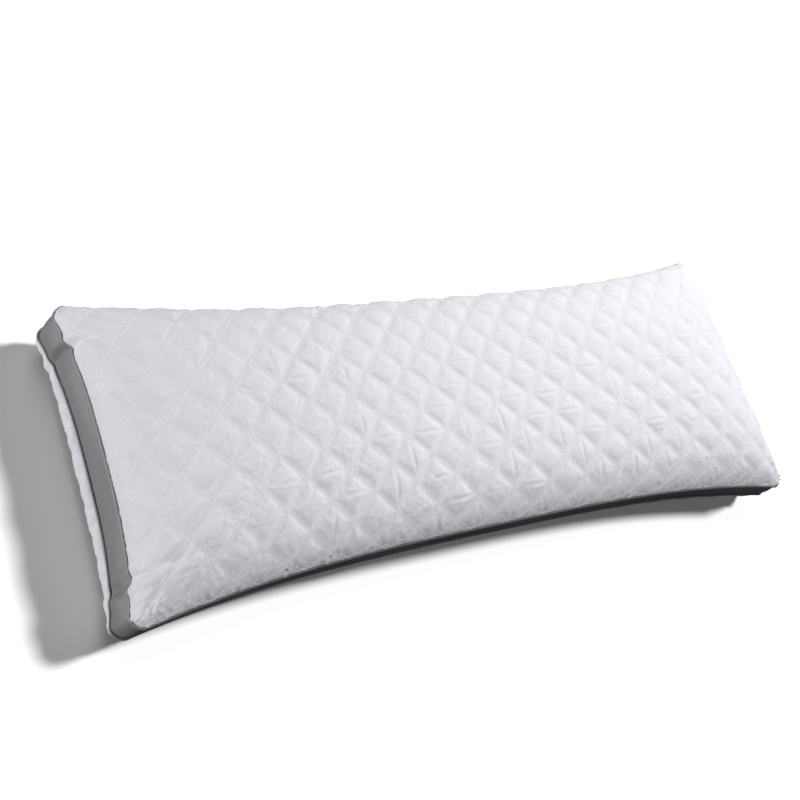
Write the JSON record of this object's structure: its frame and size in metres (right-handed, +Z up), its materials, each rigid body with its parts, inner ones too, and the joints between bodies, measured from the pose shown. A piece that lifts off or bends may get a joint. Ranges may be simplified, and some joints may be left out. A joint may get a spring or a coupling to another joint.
{
  "type": "body pillow",
  "caption": "Long gusseted bed pillow with diamond-quilted top and bottom panels, piped seams and a soft fibre filling.",
  "frame": {"origin": "centre of the pillow's footprint, on the surface it lies on", "axes": "+X along the length, +Y across the width, +Z up out of the top quilted panel"},
  "size_m": [1.38, 0.512, 0.19],
  "materials": {
    "face_fabric": "white brushed microfibre, smooth and slightly silky, quilted with white thread",
    "wadding": "white bonded polyester wadding, open and matte",
    "backing_cloth": "thin white non-woven backing cloth, matte",
    "gusset_satin": "mid-grey polyester satin with a soft sheen",
    "piping_satin": "mid-grey polyester satin cut on the bias and folded over a cord",
    "cotton_cord": "natural twisted cotton filler cord",
    "fibre": "loose white siliconised polyester fibre",
    "label_tape": "blank white woven label tape"
  },
  "bodies": {
    "root": {"top_face_fabric": "face_fabric", "top_wadding": "wadding", "top_backing": "backing_cloth", "bottom_face_fabric": "face_fabric", "bottom_wadding": "wadding", "bottom_backing": "backing_cloth", "gusset_strip_left": "gusset_satin", "gusset_strip_right": "gusset_satin", "top_piping_cover": "piping_satin", "top_piping_cord": "cotton_cord", "bottom_piping_cover": "piping_satin", "bottom_piping_cord": "cotton_cord", "fibre_fill": "fibre", "care_label": "label_tape"}
  },
  "joints": []
}
